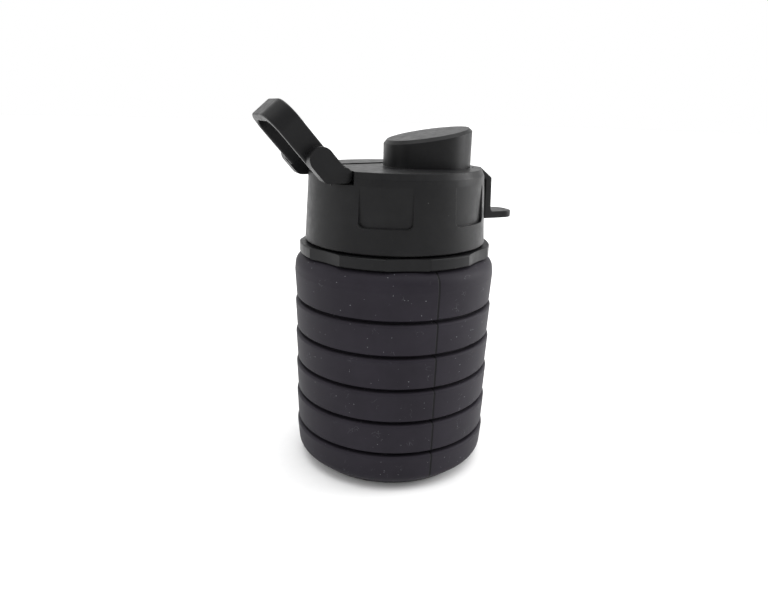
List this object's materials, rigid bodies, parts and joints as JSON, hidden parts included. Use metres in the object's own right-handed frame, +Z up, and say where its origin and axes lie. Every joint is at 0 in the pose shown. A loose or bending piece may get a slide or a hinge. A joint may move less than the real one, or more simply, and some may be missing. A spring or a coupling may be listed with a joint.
{
  "type": "folding water bottle",
  "caption": "Collapsible silicone drinking bottle with bellows body, screw lid, hinged domed flip cap with thumb tab, and a swinging carry loop.",
  "frame": {"origin": "middle of the foot's underside, on the surface the bottle stands on, on the bottle's own axis", "axes": "+Z up along the bottle's axis; +X towards the thumb tab of the flip cap; the lid hinge is at -X and its pin runs along Y"},
  "size_m": [0.0936, 0.07, 0.1264],
  "materials": {
    "body_silicone": "matte black silicone with a fine dust haze",
    "hard_plastic": "satin black polypropylene",
    "seal_silicone": "soft grey silicone",
    "pin_steel": "plain drawn steel"
  },
  "bodies": {
    "cup": {"base_cup": "body_silicone", "fold_skin_lower_1": "body_silicone"},
    "fold_waist_1": {"waist_1": "body_silicone"},
    "hoop_1": {"band_1": "body_silicone", "fold_skin_upper_1": "body_silicone", "fold_skin_lower_2": "body_silicone"},
    "fold_waist_2": {"waist_2": "body_silicone"},
    "hoop_2": {"band_2": "body_silicone", "fold_skin_upper_2": "body_silicone", "fold_skin_lower_3": "body_silicone"},
    "fold_waist_3": {"waist_3": "body_silicone"},
    "hoop_3": {"band_3": "body_silicone", "fold_skin_upper_3": "body_silicone", "fold_skin_lower_4": "body_silicone"},
    "fold_waist_4": {"waist_4": "body_silicone"},
    "hoop_4": {"band_4": "body_silicone", "fold_skin_upper_4": "body_silicone", "fold_skin_lower_5": "body_silicone"},
    "fold_waist_5": {"waist_5": "body_silicone"},
    "shoulder": {"shoulder_band": "body_silicone", "fold_skin_upper_5": "body_silicone", "neck_insert": "hard_plastic", "neck_collar": "hard_plastic"},
    "lid_seal": {"lid_gasket": "seal_silicone"},
    "lid": {"lid_shell": "hard_plastic", "drinking_spout": "hard_plastic", "hinge_pin": "pin_steel"},
    "cap": {"flip_cap": "hard_plastic", "spout_seal": "seal_silicone"},
    "loop": {"carry_loop": "hard_plastic"}
  },
  "joints": [
    {"name": "fold_1_tuck", "type": "slide", "parent": "cup", "child": "fold_waist_1", "axis": [0, 0, 1], "range_m": [0, 0.00081], "deforming": ["fold_skin_lower_1"]},
    {"name": "unfold", "type": "slide", "parent": "fold_waist_1", "child": "hoop_1", "axis": [0, 0, 1], "range_m": [0, 0.0152], "deforming": ["fold_skin_upper_1"]},
    {"name": "fold_2_tuck", "type": "slide", "parent": "hoop_1", "child": "fold_waist_2", "axis": [0, 0, 1], "range_m": [0, 0.00081], "deforming": ["fold_skin_lower_2"]},
    {"name": "fold_2_open", "type": "slide", "parent": "fold_waist_2", "child": "hoop_2", "axis": [0, 0, 1], "range_m": [0, 0.0152], "deforming": ["fold_skin_upper_2"]},
    {"name": "fold_3_tuck", "type": "slide", "parent": "hoop_2", "child": "fold_waist_3", "axis": [0, 0, 1], "range_m": [0, 0.00081], "deforming": ["fold_skin_lower_3"]},
    {"name": "fold_3_open", "type": "slide", "parent": "fold_waist_3", "child": "hoop_3", "axis": [0, 0, 1], "range_m": [0, 0.0152], "deforming": ["fold_skin_upper_3"]},
    {"name": "fold_4_tuck", "type": "slide", "parent": "hoop_3", "child": "fold_waist_4", "axis": [0, 0, 1], "range_m": [0, 0.00081], "deforming": ["fold_skin_lower_4"]},
    {"name": "fold_4_open", "type": "slide", "parent": "fold_waist_4", "child": "hoop_4", "axis": [0, 0, 1], "range_m": [0, 0.0152], "deforming": ["fold_skin_upper_4"]},
    {"name": "fold_5_tuck", "type": "slide", "parent": "hoop_4", "child": "fold_waist_5", "axis": [0, 0, 1], "range_m": [0, 0.00081], "deforming": ["fold_skin_lower_5"]},
    {"name": "fold_5_open", "type": "slide", "parent": "fold_waist_5", "child": "shoulder", "axis": [0, 0, 1], "range_m": [0, 0.0152], "deforming": ["fold_skin_upper_5"]},
    {"name": "lid_lift", "type": "slide", "parent": "shoulder", "child": "lid_seal", "axis": [0, 0, 1], "range_m": [0, 0.055]},
    {"name": "lid_turn", "type": "hinge", "parent": "lid_seal", "child": "lid", "pos_m": [0, 0, 0.09], "axis": [0, 0, 1], "continuous": true},
    {"name": "cap_flip", "type": "hinge", "parent": "lid", "child": "cap", "pos_m": [-0.0248, 0, 0.1044], "axis": [0, -1, 0], "range_deg": [0, 100]},
    {"name": "loop_swing", "type": "hinge", "parent": "lid", "child": "loop", "pos_m": [-0.0248, 0, 0.1044], "axis": [0, -1, 0], "range_deg": [-70, 0]}
  ],
  "couplings": [
    {"joint": "fold_1_tuck", "follows": "unfold", "ratio": 0.052632},
    {"joint": "fold_2_tuck", "follows": "unfold", "ratio": 0.052632},
    {"joint": "fold_2_open", "follows": "unfold", "ratio": 1},
    {"joint": "fold_3_tuck", "follows": "unfold", "ratio": 0.052632},
    {"joint": "fold_3_open", "follows": "unfold", "ratio": 1},
    {"joint": "fold_4_tuck", "follows": "unfold", "ratio": 0.052632},
    {"joint": "fold_4_open", "follows": "unfold", "ratio": 1},
    {"joint": "fold_5_tuck", "follows": "unfold", "ratio": 0.052632},
    {"joint": "fold_5_open", "follows": "unfold", "ratio": 1}
  ]
}
